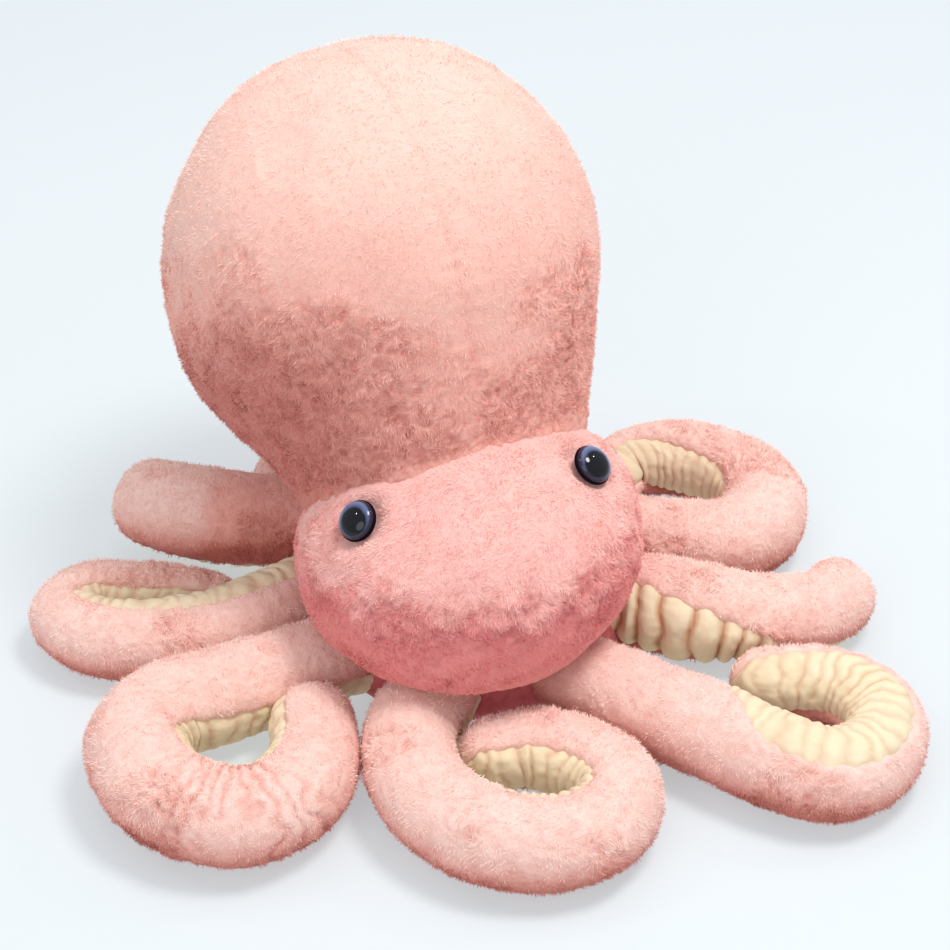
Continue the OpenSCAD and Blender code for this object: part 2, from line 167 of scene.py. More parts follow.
def plush(name, pale, mid, deep, sheen=0.2, bump=0.55, pile=1000, rough=0.92):
    """Short pile: colour runs pale to deep along the tone attribute, which carries painted shade as well as random
    mottling; painted shade in the hollows between the tufts; a fine nap.
    """
    m = bpy.data.materials.new(name)
    m.use_nodes = True
    nt = m.node_tree
    b = nt.nodes["Principled BSDF"]
    b.inputs["Roughness"].default_value = rough
    b.inputs["Sheen Weight"].default_value = sheen
    b.inputs["Sheen Roughness"].default_value = 0.45
    b.inputs["Sheen Tint"].default_value = (1.0, 0.86, 0.80, 1)
    b.inputs["Specular IOR Level"].default_value = 0.2
    tone = nt.nodes.new("ShaderNodeAttribute"); tone.attribute_name = "tone"
    cav = nt.nodes.new("ShaderNodeAttribute"); cav.attribute_name = "cav"
    co = nt.nodes.new("ShaderNodeTexCoord")
    n1 = nt.nodes.new("ShaderNodeTexNoise"); n1.inputs["Scale"].default_value = 60; n1.inputs["Detail"].default_value = 4
    nt.links.new(co.outputs["Object"], n1.inputs["Vector"])
    n2 = nt.nodes.new("ShaderNodeTexNoise"); n2.inputs["Scale"].default_value = 420; n2.inputs["Detail"].default_value = 3
    nt.links.new(co.outputs["Object"], n2.inputs["Vector"])
    add = nt.nodes.new("ShaderNodeMath"); add.operation = "MULTIPLY_ADD"
    nt.links.new(n1.outputs["Fac"], add.inputs[0]); add.inputs[1].default_value = 0.34
    nt.links.new(tone.outputs["Fac"], add.inputs[2])
    add2 = nt.nodes.new("ShaderNodeMath"); add2.operation = "MULTIPLY_ADD"
    nt.links.new(n2.outputs["Fac"], add2.inputs[0]); add2.inputs[1].default_value = 0.16
    nt.links.new(add.outputs[0], add2.inputs[2])
    ramp = nt.nodes.new("ShaderNodeValToRGB")
    ramp.color_ramp.elements[0].position = 0.22; ramp.color_ramp.elements[0].color = pale
    ramp.color_ramp.elements[1].position = 1.12 if False else 1.0; ramp.color_ramp.elements[1].color = deep
    e = ramp.color_ramp.elements.new(0.62); e.color = mid
    sub = nt.nodes.new("ShaderNodeMath"); sub.operation = "MULTIPLY"
    nt.links.new(add2.outputs[0], sub.inputs[0]); sub.inputs[1].default_value = 0.86
    nt.links.new(sub.outputs[0], ramp.inputs["Fac"])
    # painted shade: the hollows between tufts (low cav) are multiplied darker
    mix = nt.nodes.new("ShaderNodeMix"); mix.data_type = "RGBA"; mix.blend_type = "MULTIPLY"
    cmap = nt.nodes.new("ShaderNodeMapRange")
    nt.links.new(cav.outputs["Fac"], cmap.inputs["Value"])
    cmap.inputs["From Min"].default_value = 0.15; cmap.inputs["From Max"].default_value = -0.9
    cmap.inputs["To Min"].default_value = 0.0; cmap.inputs["To Max"].default_value = 0.85
    nt.links.new(cmap.outputs["Result"], mix.inputs["Factor"])
    nt.links.new(ramp.outputs["Color"], mix.inputs[6])
    mix.inputs[7].default_value = (0.72, 0.40, 0.36, 1)
    nt.links.new(mix.outputs[2], b.inputs["Base Color"])
    # nap
    n3 = nt.nodes.new("ShaderNodeTexNoise"); n3.inputs["Scale"].default_value = pile; n3.inputs["Detail"].default_value = 5
    n3.inputs["Roughness"].default_value = 0.7
    nt.links.new(co.outputs["Object"], n3.inputs["Vector"])
    bp = nt.nodes.new("ShaderNodeBump"); bp.inputs["Strength"].default_value = bump; bp.inputs["Distance"].default_value = 0.0012
    nt.links.new(n3.outputs["Fac"], bp.inputs["Height"])
    nt.links.new(bp.outputs["Normal"], b.inputs["Normal"])
    return m


# Each ramp runs pale, mid, deep along tone; the deep ends stand mostly for painted shade on undersides, near the body,
# under the chin and in the cream rib valleys.
PALE, MID, DEEP = lin(251, 213, 202), lin(242, 178, 165), lin(198, 114, 100)
M_ARM = plush("pink_plush", PALE, MID, DEEP)
M_MANTLE = plush("peach_plush", lin(250, 208, 195), lin(244, 184, 171), lin(208, 132, 121))
M_FACE = plush("rose_plush", lin(249, 196, 188), lin(243, 170, 165), lin(238, 146, 146))
# painted shade: the trunk under the head is coloured a darker rose throughout because it sits in shade
M_TRUNK = plush("rose_plush_shaded", lin(232, 150, 146), lin(216, 114, 116), lin(186, 80, 86))
M_CREAM = plush("cream_velour", lin(240, 226, 198), lin(226, 206, 168), lin(176, 138, 88), sheen=0.1, bump=0.3, pile=1700)


def simple(name, color, rough, **kw):
    m = bpy.data.materials.new(name)
    m.use_nodes = True
    b = m.node_tree.nodes["Principled BSDF"]
    b.inputs["Base Color"].default_value = color
    b.inputs["Roughness"].default_value = rough
    for k, v in kw.items():
        b.inputs[k.replace("_", " ")].default_value = v
    return m



# ---------------------------------------------------------------- loose pile
def hairs(name, X, N, W, count, length, mats, seed, place, ring=True):
    """Short leaning hairs on a grid surface X with outward normals N; W is where they stand thick."""
    rs = np.random.RandomState(seed)
    P00, P10 = X[:-1, :-1], X[1:, :-1]
    P01, P11 = X[:-1, 1:], X[1:, 1:]
    area_ = np.linalg.norm(np.cross(P10 - P00, P01 - P00), axis=-1) * W[:-1, :-1]
    p = area_.ravel() / area_.sum()
    pick = rs.choice(len(p), count, p=p)
    i, j = np.divmod(pick, area_.shape[1])
    u, v = rs.rand(count)[:, None], rs.rand(count)[:, None]
    root = (P00[i, j] * (1 - u) * (1 - v) + P10[i, j] * u * (1 - v) + P01[i, j] * (1 - u) * v + P11[i, j] * u * v)
    n = N[i, j]
    # neighbouring hairs lean the same way, so the pile lies in tufts
    lean = np.stack([noise(root, 7.0, seed + 1), noise(root, 7.0, seed + 2), noise(root, 7.0, seed + 3) - 0.25], -1)
    lean = lean - n * np.sum(lean * n, -1)[:, None]
    lean = lean + 0.22 * rs.randn(count, 3)
    L = length * (0.6 + 0.6 * rs.rand(count))[:, None]
    d1 = n * 0.62 + lean * 1.0
    d1 /= np.linalg.norm(d1, axis=-1)[:, None]
    d2 = n * 0.3 + lean * 1.7
    d2 /= np.linalg.norm(d2, axis=-1)[:, None]
    side = np.cross(d1, n + 0.3 * rs.randn(count, 3))
    side /= np.linalg.norm(side, axis=-1)[:, None] + 1e-9
    w = 0.135
    a0, a1 = root - side * w - n * 0.25, root + side * w - n * 0.25
    m0, m1 = root + d1 * L * 0.5 - side * w * 0.8, root + d1 * L * 0.5 + side * w * 0.8
    tip = root + d1 * L * 0.5 + d2 * L * 0.5
    V = np.stack([a0, a1, m0, m1, tip], 1).reshape(-1, 3)
    V[:, 2] = np.maximum(V[:, 2], 0.3)
    b = (np.arange(count) * 5)[:, None]
    quads = b + np.array([[0, 1, 3, 2]])
    tris = b + np.array([[2, 3, 4]])
    ob = make_mesh(name, V + SH, (quads, tris))
    for m in mats:
        ob.data.materials.append(m)
    # each hair picks a shade from the tone it grows on, painted shade included, with a random jitter
    tone_ = place(root, i, j)
    idx = np.clip((tone_ + 0.10 * rs.randn(count)) * len(mats), 0, len(mats) - 1).astype(np.int32)
    ob.data.polygons.foreach_set("material_index", np.concatenate([idx, idx]))
    ob.data.update()
    return ob, i, j


def hair_set(name, cols):
    out = []
    for k, c in enumerate(cols):
        out.append(simple(f"{name}_{k}", c, 0.85, Sheen_Weight=0.2, Specular_IOR_Level=0.15))
    return out


def normals(X, wrap=True):
    du = np.gradient(X, axis=0)
    dv = (np.roll(X, -1, 1) - np.roll(X, 1, 1)) / 2 if wrap else np.gradient(X, axis=1)
    n = np.cross(du, dv)
    return n / (np.linalg.norm(n, axis=-1)[..., None] + 1e-9)


# Each set runs pale to deep; a hair takes the shade of the tone it grows on, so the darker shades stand partly for
# painted shade.
H_ARM = hair_set("pink_hair", [lin(252, 219, 209), lin(248, 204, 193), lin(240, 180, 167), lin(226, 150, 137), lin(202, 122, 108)])
H_PEACH = hair_set("peach_hair", [lin(252, 216, 203), lin(246, 196, 183), lin(244, 186, 173), lin(232, 164, 152), lin(212, 138, 127)])
H_ROSE = hair_set("rose_hair", [lin(251, 206, 198), lin(246, 184, 177), lin(244, 174, 169), lin(240, 158, 156), lin(236, 144, 144)])

# ---------------------------------------------------------------- arms
# Centre lines as in the design: x, y, z, radius, direction of the strip
ARMS = {
    "front_left": [
        [-43.5, -43, 17.8, 17.5, -50], [-53, -51, 18.3, 18, -50], [-74, -63, 18.8, 18.5, -45],
        [-98, -77, 19.8, 19.5, -36], [-120, -88, 20.6, 20.3, -26], [-130, -108, 20.8, 20.5, -15],
        [-118.5, -132.5, 20.8, 20.5, -5], [-92, -145.5, 20.3, 20, 0], [-71, -136.5, 19.6, 19.3, 0],
        [-62, -116, 18.6, 18.3, 0], [-63.5, -92, 17.3, 17, 0]],
    "front": [
        [-12.6, -62.6, 17.8, 17.5, -50], [-15, -74, 18.3, 18, -50], [-23, -93, 19.3, 19, -45],
        [-24.5, -115, 19.3, 19, -35], [-16, -137, 19.3, 19, -15], [3, -153, 19.3, 19, 5],
        [28, -158, 18.8, 18.5, 10], [49, -147, 18.3, 18, 5], [54, -128, 17.8, 17.5, 0],
        [42, -113, 17.3, 17, 0], [24, -106, 16.8, 16.5, 0], [8, -106.5, 15.3, 15, 0]],
    "front_right": [
        [32.9, -53.3, 17.8, 17.5, -40], [40, -63, 18.3, 18, -40], [56, -75.5, 18.8, 18.5, -35],
        [76, -88, 19.3, 19, -15], [96, -100.5, 19.6, 19.3, 25], [115, -114, 19.3, 19, 55],
        [136, -121, 18.8, 18.5, 65], [153, -112, 18.1, 17.8, 70], [159, -92, 17.6, 17.3, 70],
        [150, -74, 16.8, 16.5, 62], [134, -66, 15.8, 15.5, 50], [116, -64, 14.3, 14, 35]],
    "right": [
        [55.5, -15.8, 17.8, 17.5, 160], [68, -20, 20.3, 20, 165], [89, -28, 21.3, 21, 183],
        [112, -28.5, 18.8, 18.5, 212], [135, -26, 17.6, 17.3, 245], [151, -15, 15.8, 15.5, 268],
        [152, -2, 12.8, 12.5, 280]],
    "rear_right": [
        [47.5, 21.7, 17.8, 17.5, 200], [60, 27, 17.8, 17.5, 205], [82, 22, 18.8, 18.5, 215],
        [104, 19, 19.3, 19, 240], [121, 30, 19.3, 19, 280], [126, 50, 18.8, 18.5, 320],
        [117, 68, 18.3, 18, 350], [101, 79, 17.8, 17.5, 362], [82, 84, 16.8, 16.5, 378],
        [66, 79, 15.3, 15, 405], [61, 66, 13.3, 13, 430]],
    "rear_left": [
        [-44.7, 25.7, 19.8, 17.5, 270], [-56, 31, 21.8, 18, 270], [-76, 29.5, 23.8, 19.5, 270],
        [-99, 28, 25, 20.5, 270], [-121, 33, 25, 20.5, 270], [-137, 40, 24, 19.5, 270]],
    "left": [
        [-56, -9, 17.8, 17.5, 120], [-68, -12, 17.8, 17.5, 120], [-86, -26, 18.3, 18, 130],
        [-106, -38, 18.3, 18, 135], [-130, -42, 17.8, 17.5, 140], [-154, -39, 16.8, 16.5, 150],
        [-169, -25, 15.3, 15, 160], [-161, -9, 14.3, 14, 170], [-142, -6, 13.3, 13, 180],
        [-124, -6.5, 12.8, 12.5, 180], [-110, -7, 10.8, 10.5, 180]],
    "rear": [
        [-13.5, 46.3, 17.8, 17.5, 0], [-17, 59, 17.8, 17.5, 0], [-27, 77, 17.8, 17.5, 0],
        [-46, 91, 17.3, 17, 0], [-68, 92, 15.3, 15, 0], [-84, 80, 13.3, 13, 0],
        [-89, 66, 11.3, 11, 0]],
}
CUT = {"front_left": 2.12, "front": 2.6, "front_right": 2.3, "right": 1.25, "left": 1.3}
CURL = {"front_left": 5, "front": 5, "front_right": 6}


def curve_at(P, u):
    n = len(P) - 1
    i = np.clip(np.floor(u).astype(int), 0, n - 1)
    Q = np.vstack([2 * P[0] - P[1], P, 2 * P[-1] - P[-2]])
    t = (u - i)[:, None]
    a, b, c, d = Q[i], Q[i + 1], Q[i + 2], Q[i + 3]
    return 0.5 * (2 * b + (c - a) * t + (2 * a - 5 * b + 4 * c - d) * t * t + (3 * b - a - 3 * c + d) * t ** 3)


class Line:
    """A sampled arm: stations every ds mm from start_u to the end, then round the tip."""

    def __init__(self, P, start_u, ds):
        P = np.array(P, float)
        n = len(P) - 1
        uu = np.linspace(start_u, n, 4000)
        c = curve_at(P, uu)
        L = np.concatenate([[0], np.cumsum(np.linalg.norm(np.diff(c[:, :3], axis=0), axis=1))])
        self.u_of_s = lambda s: np.interp(s, L, uu)
        self.s_of_u = lambda u: np.interp(u, uu, L)
        self.total = L[-1]
        m = int(self.total / ds) + 1
        s = np.linspace(0, self.total, m)
        u = self.u_of_s(s)
        c = curve_at(P, u)
        T = curve_at(P, u + 0.01)[:, :3] - curve_at(P, u - 0.01)[:, :3]
        r_end = c[-1, 3]
        k = int(r_end * math.pi / 2 / ds) + 2
        f = np.linspace(0, math.pi / 2, k)[1:]
        T /= np.linalg.norm(T, axis=1)[:, None]
        self.C = np.vstack([c[:, :3], c[-1, :3] + np.outer(r_end * np.sin(f), T[-1])])
        self.T = np.vstack([T, np.repeat(T[-1:], len(f), 0)])
        self.r = np.concatenate([c[:, 3], np.full(len(f), r_end)])
        self.rr = np.concatenate([c[:, 3], r_end * np.cos(f)])      # radius that shrinks round the tip
        self.a = np.radians(np.concatenate([c[:, 4], np.full(len(f), c[-1, 4])]))
        self.s = np.concatenate([s, self.total + r_end * f])
        self.end = self.s[-1]
        l = np.stack([-self.T[:, 1], self.T[:, 0], np.zeros(len(self.T))], -1)
        self.Lv = l / np.linalg.norm(l, axis=1)[:, None]
        self.U = np.cross(self.T, self.Lv)


ALPHA = math.radians(46)
RIB = 7.4


def arm_pieces(name, P, seed):
    ds = 0.85
    start = -1.1 if name in CUT else -0.9
    ln = Line(P, start, ds)
    nu = len(ln.s)
    s = ln.s
    rib_len = 10.0 if name == "right" else RIB
    # uneven gathers along the strip
    ph = np.cumsum(np.concatenate([[0], 2 * math.pi * ds / (rib_len * (1 + 0.28 * noise(np.stack([s[:-1], s[:-1] * 0, s[:-1] * 0], -1), 11.0, seed + 40)))]))
    s_root = ln.s_of_u(0.0)
    fade_tip = step(ln.end - s, 2, 20)
    alpha = ALPHA * (0.03 + 0.97 * fade_tip)
    if name == "front_right":
        uu_ = ln.u_of_s(np.minimum(s, ln.total))
        alpha = alpha * (0.55 + 0.75 * step(uu_, 3.4, 5.0))
    groove = 0.5 + 0.5 * np.cos(ph)
    alpha = alpha * (1 + 0.045 * np.cos(ph + 0.6) * fade_tip)

    # ---- pink skin
    no, ni = 132, 10
    k = np.linspace(0, 1, no)
    kk = np.concatenate([k, np.full(ni, 0)])
    th_o = alpha[:, None] + (2 * math.pi - 2 * alpha[:, None]) * k[None, :]
    th_i = (2 * math.pi - alpha[:, None]) - (2 * math.pi - 2 * alpha[:, None]) * np.linspace(0, 1, ni)[None, :]
    edge = ln.r[:, None] * np.minimum(th_o - alpha[:, None], 2 * math.pi - alpha[:, None] - th_o)
    cosn = lambda th: np.cos(th + ln.a[:, None])
    sinn = lambda th: np.sin(th + ln.a[:, None])
    D_o = cosn(th_o)[..., None] * ln.Lv[:, None, :] + sinn(th_o)[..., None] * ln.U[:, None, :]
    D_i = cosn(th_i)[..., None] * ln.Lv[:, None, :] + sinn(th_i)[..., None] * ln.U[:, None, :]
    shrink = (ln.rr / ln.r)[:, None]
    base = ln.C[:, None, :] + D_o * ln.rr[:, None, None]
    lump = noise(base, 26.0, seed) * 0.022 + noise(base, 13.0, seed + 7) * 0.012
    patch = step(noise(base, 30.0, seed + 21) + 0.35 * noise(base, 12.0, seed + 22), 0.05, 0.55)
    cl = clumps(base, seed + 30)
    np_ = nap(base, seed + 31)
    # puckers run out from the gathered strip and fade over the skin
    puck = np.exp(-edge / 7.0) * np.cos(ph[:, None] + 0.35 * noise(base, 9.0, seed + 3) * 3) * 0.55
    fold_mask = step(noise(base, 34.0, seed + 23), 0.15, 0.6)
    wrn = noise(base, 10.0, seed + 24)
    folds = -np.abs(np.sin(ph[:, None] * 0.55 + 4.5 * wrn)) ** 3 * 0.35 * fold_mask * np.exp(-edge / 16.0)
    if name == "front_left":
        uu = ln.u_of_s(np.minimum(s, ln.total))
        hard = step(uu, 5.8, 6.6) * step(uu, 9.2, 8.2)
        folds = folds - 0.9 * hard[:, None] * np.abs(np.sin(0.95 * s[:, None] * 0.62 + 2.2 * noise(base, 15.0, seed + 25) + 1.2 * noise(base, 6.0, seed + 26))) ** 5 * step(noise(base, 22.0, seed + 27), -0.35, 0.3)
    roll = -2.6 * np.exp(-edge / 1.5)
    disp = ln.r[:, None] * lump * shrink + (0.30 + 0.60 * patch) * cl * 1.35 + 0.18 * np_ + puck + folds + roll * shrink
    disp *= step(shrink, 0.0, 0.25) * 0.9 + 0.1 * shrink
    R_o = np.maximum(ln.rr[:, None] + disp - 0.35, 0.02)
    outer = ln.C[:, None, :] + D_o * R_o[..., None]
    R_i = np.maximum(ln.rr[:, None] - 4.2 * shrink, 0.01) * np.ones_like(th_i)
    inner = ln.C[:, None, :] + D_i * R_i[..., None]
    V = np.concatenate([outer, inner], 1)
    lift = V[..., 2] < 0.35
    V[..., 2] = np.where(lift, 0.35 + 0.06 * (V[..., 2] - 0.35), V[..., 2])
    nz = D_o[..., 2]
    # painted shade: darker on the undersides, and painted light: a little lighter on top; random patches deepen it too
    tone = 0.06 + 0.86 * step(nz, 0.50, -0.60) + 0.14 * patch - 0.05 * step(nz, 0.4, 1.0)
    root_shade = step(s, s_root + 34, s_root + 4)[:, None]
    tone = tone + 0.35 * root_shade
    # painted shadow of the mantle over the first stretch of this arm
    if name == "rear_left":
        tone = tone + 0.42 * step(s, s_root + 72, s_root + 62)[:, None]
    # painted shade in the hollows between the tufts and in the folds
    cav = np.clip(cl, -1.2, 1) * (0.28 + 0.4 * patch) + folds * 0.6
    tone_all = np.concatenate([tone, np.full((nu, ni), 0.9)], 1)
    cav_all = np.concatenate([cav, np.full((nu, ni), -0.5)], 1)

    # ---- cream strip
    ns, nsi = 64, 6
    q = np.linspace(-1, 1, ns)
    a_in = alpha + np.radians(5.5) * fade_tip
    th_s = a_in[:, None] * q[None, :]
    D_s = cosn(th_s)[..., None] * ln.Lv[:, None, :] + sinn(th_s)[..., None] * ln.U[:, None, :]
    base_s = ln.C[:, None, :] + D_s * ln.rr[:, None, None]
    across = 1 - q[None, :] ** 4
    warp = 1.5 * noise(base_s, 12.0, seed + 50) + 0.8 * noise(base_s, 6.0, seed + 51)
    amp = 0.95 + 0.55 * noise(base_s, 17.0, seed + 52)
    rib = (np.abs(np.cos(0.5 * ph[:, None] + (0.35 if name == "right" else 0.9) * warp)) ** 0.8 - 0.6) * ((3.9 - 2.4 * step(s, s_root + 40, s_root + 85))[:, None] if name == "right" else 1.0 + 0.35 * noise(base_s, 26.0, seed + 56)) * amp * (0.55 + 0.45 * across)
    fine = 0.4 * noise(base_s, 3.0, seed + 53) + 0.5 * noise(base_s, 8.0, seed + 55) + 0.14 * nap(base_s, seed + 54)
    crown = -0.5 - 2.2 * np.abs(q[None, :]) ** 5
    R_s = np.maximum(ln.rr[:, None] + (rib + fine + crown) * shrink, 0.015)
    out_s = ln.C[:, None, :] + D_s * R_s[..., None]
    th_si = a_in[:, None] * np.linspace(1, -1, nsi)[None, :]
    D_si = cosn(th_si)[..., None] * ln.Lv[:, None, :] + sinn(th_si)[..., None] * ln.U[:, None, :]
    in_s = ln.C[:, None, :] + D_si * np.maximum(ln.rr[:, None] - 6.5 * shrink, 0.01)[..., None]
    VS = np.concatenate([out_s, in_s], 1)
    VS[..., 2] = np.where(VS[..., 2] < 0.35, 0.35 + 0.06 * (VS[..., 2] - 0.35), VS[..., 2])
    # painted shade in the rib valleys and on the underside of the strip; cav_s darkens the valleys again in the
    # material
    tone_s = 0.20 + 0.35 * step(-rib, 0.2, 1.5) + 0.22 * step(D_s[..., 2], 0.3, -0.6)
    cav_s = np.clip(rib * 0.6, -1.1, 1)
    tone_s = np.concatenate([tone_s, np.full((nu, nsi), 0.9)], 1)
    cav_s = np.concatenate([cav_s, np.full((nu, nsi), -0.5)], 1)

    # ---- joints: where each arm splits into pieces; the weights of how far each station would turn with the next body are worked out but not used here
    if name in CUT:
        c0 = ln.s_of_u(CUT[name])
        w_lift = step(s, c0 - 15, c0 + 15)
    else:
        w_lift = step(s, s_root - 3, s_root + 26)
    segs = []
    if name in CURL:
        c1 = ln.s_of_u(float(CURL[name]))
        w_curl = step(s, c1 - 17, c1 + 17)
        mid = int(np.searchsorted(s, 0.5 * (c0 + 15 + c1 - 17)))
        segs.append(("arm", 0, mid + 1, "trunk", name + "_arm", w_lift))
        segs.append(("tip", mid, nu, name + "_arm", name + "_tip", w_curl))
    else:
        segs.append(("arm", 0, nu, "trunk", name + "_arm", w_lift))
    for part, i0, i1, ba, bb, w in segs:
        for kind, VV, tn, cv, mat, slot in (("skin", V, tone_all, cav_all, M_ARM, "pink_plush"), ("strip", VS, tone_s, cav_s, M_CREAM, "cream_strip")):
            G = VV[i0:i1]
            m, nv = G.shape[:2]
            verts = G.reshape(-1, 3) + SH
            quads = grid_faces(m, nv, True)
            tris = []
            c0i = len(verts)
            verts = np.vstack([verts, verts[:nv].mean(0)[None], verts[(m - 1) * nv:m * nv].mean(0)[None]])
            caps = []
            if i0 == 0:
                caps.append(fan(np.arange(nv), c0i, False))
            if i1 == nu:
                caps.append(fan((m - 1) * nv + np.arange(nv), c0i + 1, True))
            tris = np.vstack(caps)
            t2 = np.concatenate([tn[i0:i1].ravel(), [0.9, 0.6]])
            c2 = np.concatenate([cv[i0:i1].ravel(), [0, 0]])
            ob = make_mesh(f"{name}_{part}_{kind}_soft", verts, (quads, tris), {"tone": t2, "cav": c2})
            ob.data.materials.append(mat)
            node = f"{name}_{part}_{kind}"
            extra = []
            if kind == "skin":
                extra = [f"{name}_{part}_stuffing"]
                if part == "arm" and name in CUT:
                    extra.append(f"{name}_sleeve")
            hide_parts(node, *extra)
            if kind == "skin":
                go = G[:, :no]
                nn = D_o[i0:i1]
                dens = (0.35 + patch[i0:i1]) * step(edge[i0:i1], 0.8, 3.0) * step(go[..., 2], 1.0, 4.0) * step(shrink[i0:i1], 0.02, 0.3)
                cnt = int(68 * (s[i1 - 1] - s[i0]))
                fur, hi, hj = hairs(f"{name}_{part}_pile", go, nn, dens, cnt, 1.85, H_ARM, seed + 60, lambda r_, a_, b_: tn[i0:i1][a_, b_] * 0.95)
                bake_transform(fur)
            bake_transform(ob)


for i, (nm, P) in enumerate(ARMS.items()):
    arm_pieces(nm, P, 100 + 17 * i)

# ---------------------------------------------------------------- trunk
TC = np.array([-2.0, -8.0, 0.0])


def lathe_like(nr, na):
    return np.linspace(0, 1, nr)[:, None], np.linspace(0, 2 * math.pi, na, endpoint=False)[None, :]


def trunk():
    # a low rounded mound, with a soft web of plush between the arm roots
    k, a = lathe_like(150, 420)
    ang = a + 0 * k
    reach = 63 + 3.5 * np.cos(ang + 1.75) + 1.5 * noise(np.stack([np.cos(a) * 60, np.sin(a) * 60, 0 * a], -1), 30.0, 5)
    prof_r = np.interp(k, [0, 0.12, 0.45, 0.62, 0.75, 0.86, 0.94, 1.0], [0, 20, 46, 52, 58, 63, 64.5, 60])
    prof_z = np.interp(k, [0, 0.12, 0.45, 0.62, 0.75, 0.86, 0.94, 1.0], [42, 42, 41.5, 38, 30, 18, 8, 0.6])
    # smooth the profile a little
    for _ in range(14):
        prof_r[1:-1] = (prof_r[:-2] + 2 * prof_r[1:-1] + prof_r[2:]) / 4
        prof_z[1:-1] = (prof_z[:-2] + 2 * prof_z[1:-1] + prof_z[2:]) / 4
    R = prof_r * (1 + (reach / 63 - 1) * step(prof_r, 30, 60))
    X = np.stack([R * np.cos(ang), R * np.sin(ang), prof_z + 0 * ang], -1)
    d = np.stack([np.cos(ang), np.sin(ang), 0.6 + 0 * ang], -1)
    d /= np.linalg.norm(d, axis=-1)[..., None]
    cl = clumps(X, 301)
    X = X + d * (0.5 * cl + 0.2 * nap(X, 302))[..., None]
    X[..., 2] = np.maximum(X[..., 2], 0.4)
    nr, na = X.shape[:2]
    verts = (X.reshape(-1, 3) + TC + SH)
    quads = grid_faces(nr, na, True)
    verts = np.vstack([verts, verts[(nr - 1) * na:].mean(0)[None]])
    tris = fan((nr - 1) * na + np.arange(na), len(verts) - 1, False)
    # painted shade: darker towards the floor, and in the hollows between the tufts through cav
    tone = 0.35 + 0.4 * step(X[..., 2], 30, 4)
    ob = make_mesh("trunk_soft", verts, (quads[:, ::-1], tris[:, ::-1]), {"tone": np.append(tone.ravel(), 0.8), "cav": np.append(cl.ravel(), 0)})
    ob.data.materials.append(M_TRUNK)
    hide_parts("root_band", "trunk_stuffing", "pellet_bag", "sleeve_stuffing")
    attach(ob, "trunk")


trunk()


def base():
    # flat round panel underneath, quilted by pull from the edge
    k, a = lathe_like(60, 240)
    R = 44.8 * k + 0 * a
    X = np.stack([R * np.cos(a), R * np.sin(a), 0.05 + 0 * R], -1)
    gather = 0.35 * (0.5 + 0.5 * np.cos(a * 40 + 2 * np.sin(3 * a))) * step(R, 26, 44)
    X[..., 2] = 0.02 + gather + 0.12 * (0.5 + 0.5 * noise(X, 6.0, 3)) * step(R, 2, 10)
    top = X.copy()
    top[..., 2] = 2.4 - 0.8 * step(R, 41, 44.8)
    nr, na = X.shape[:2]
    V = np.concatenate([X, top[::-1]], 0)
    verts = V.reshape(-1, 3) + TC + SH
    quads = grid_faces(2 * nr, na, True)
    # darker towards the rim; painted shade in the hollows between the gathers through cav
    ob = make_mesh("base_soft", verts, (quads[:, ::-1],), {"tone": np.concatenate([0.3 + 0.3 * step(R, 30, 44), 0.8 + 0 * R], 0).ravel(), "cav": np.concatenate([gather * 2 - 0.5, gather * 0], 0).ravel()})
    ob.data.materials.append(M_CREAM)
    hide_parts("base_panel")
    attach(ob, "trunk")


base()

# ---------------------------------------------------------------- head and mantle frames
MC = np.array([-37.5, 40.0, 150.0])
MR, NR = 87.0, 62.0
TILT, AZ, SEAM = math.radians(36), math.radians(119), math.radians(175)


def rot_z(t):
    return np.array([[math.cos(t), -math.sin(t), 0], [math.sin(t), math.cos(t), 0], [0, 0, 1]])


def rot_y(t):
    return np.array([[math.cos(t), 0, math.sin(t)], [0, 1, 0], [-math.sin(t), 0, math.cos(t)]])


MROT = rot_z(AZ) @ rot_y(TILT)

HM = np.array([-2.0, -38.0, 62.0])
HA, HC, LEAN = 70.0, 57.0, math.radians(14)
HEAD_R = np.array([[math.cos(LEAN), 0, -math.sin(LEAN)], [0, 1, 0], [math.sin(LEAN), 0, math.cos(LEAN)]])   # local to world columns are rows of the transpose


def head_local(p):
    d = p - HM
    w = np.array([-math.sin(LEAN), 0, math.cos(LEAN)])
    u = np.array([math.cos(LEAN), 0, math.sin(LEAN)])
    return np.stack([d @ u, d[..., 1], d @ w], -1)


EYES = {"left": (np.array([-43.7, -66.1, 97.5]), 46, -138), "right": (np.array([44.2, -45, 107.8]), 40, -28)}


def axis_of(tilt, az):
    t, z = math.radians(tilt), math.radians(az)
    return np.array([math.sin(t) * math.cos(z), math.sin(t) * math.sin(z), math.cos(t)])


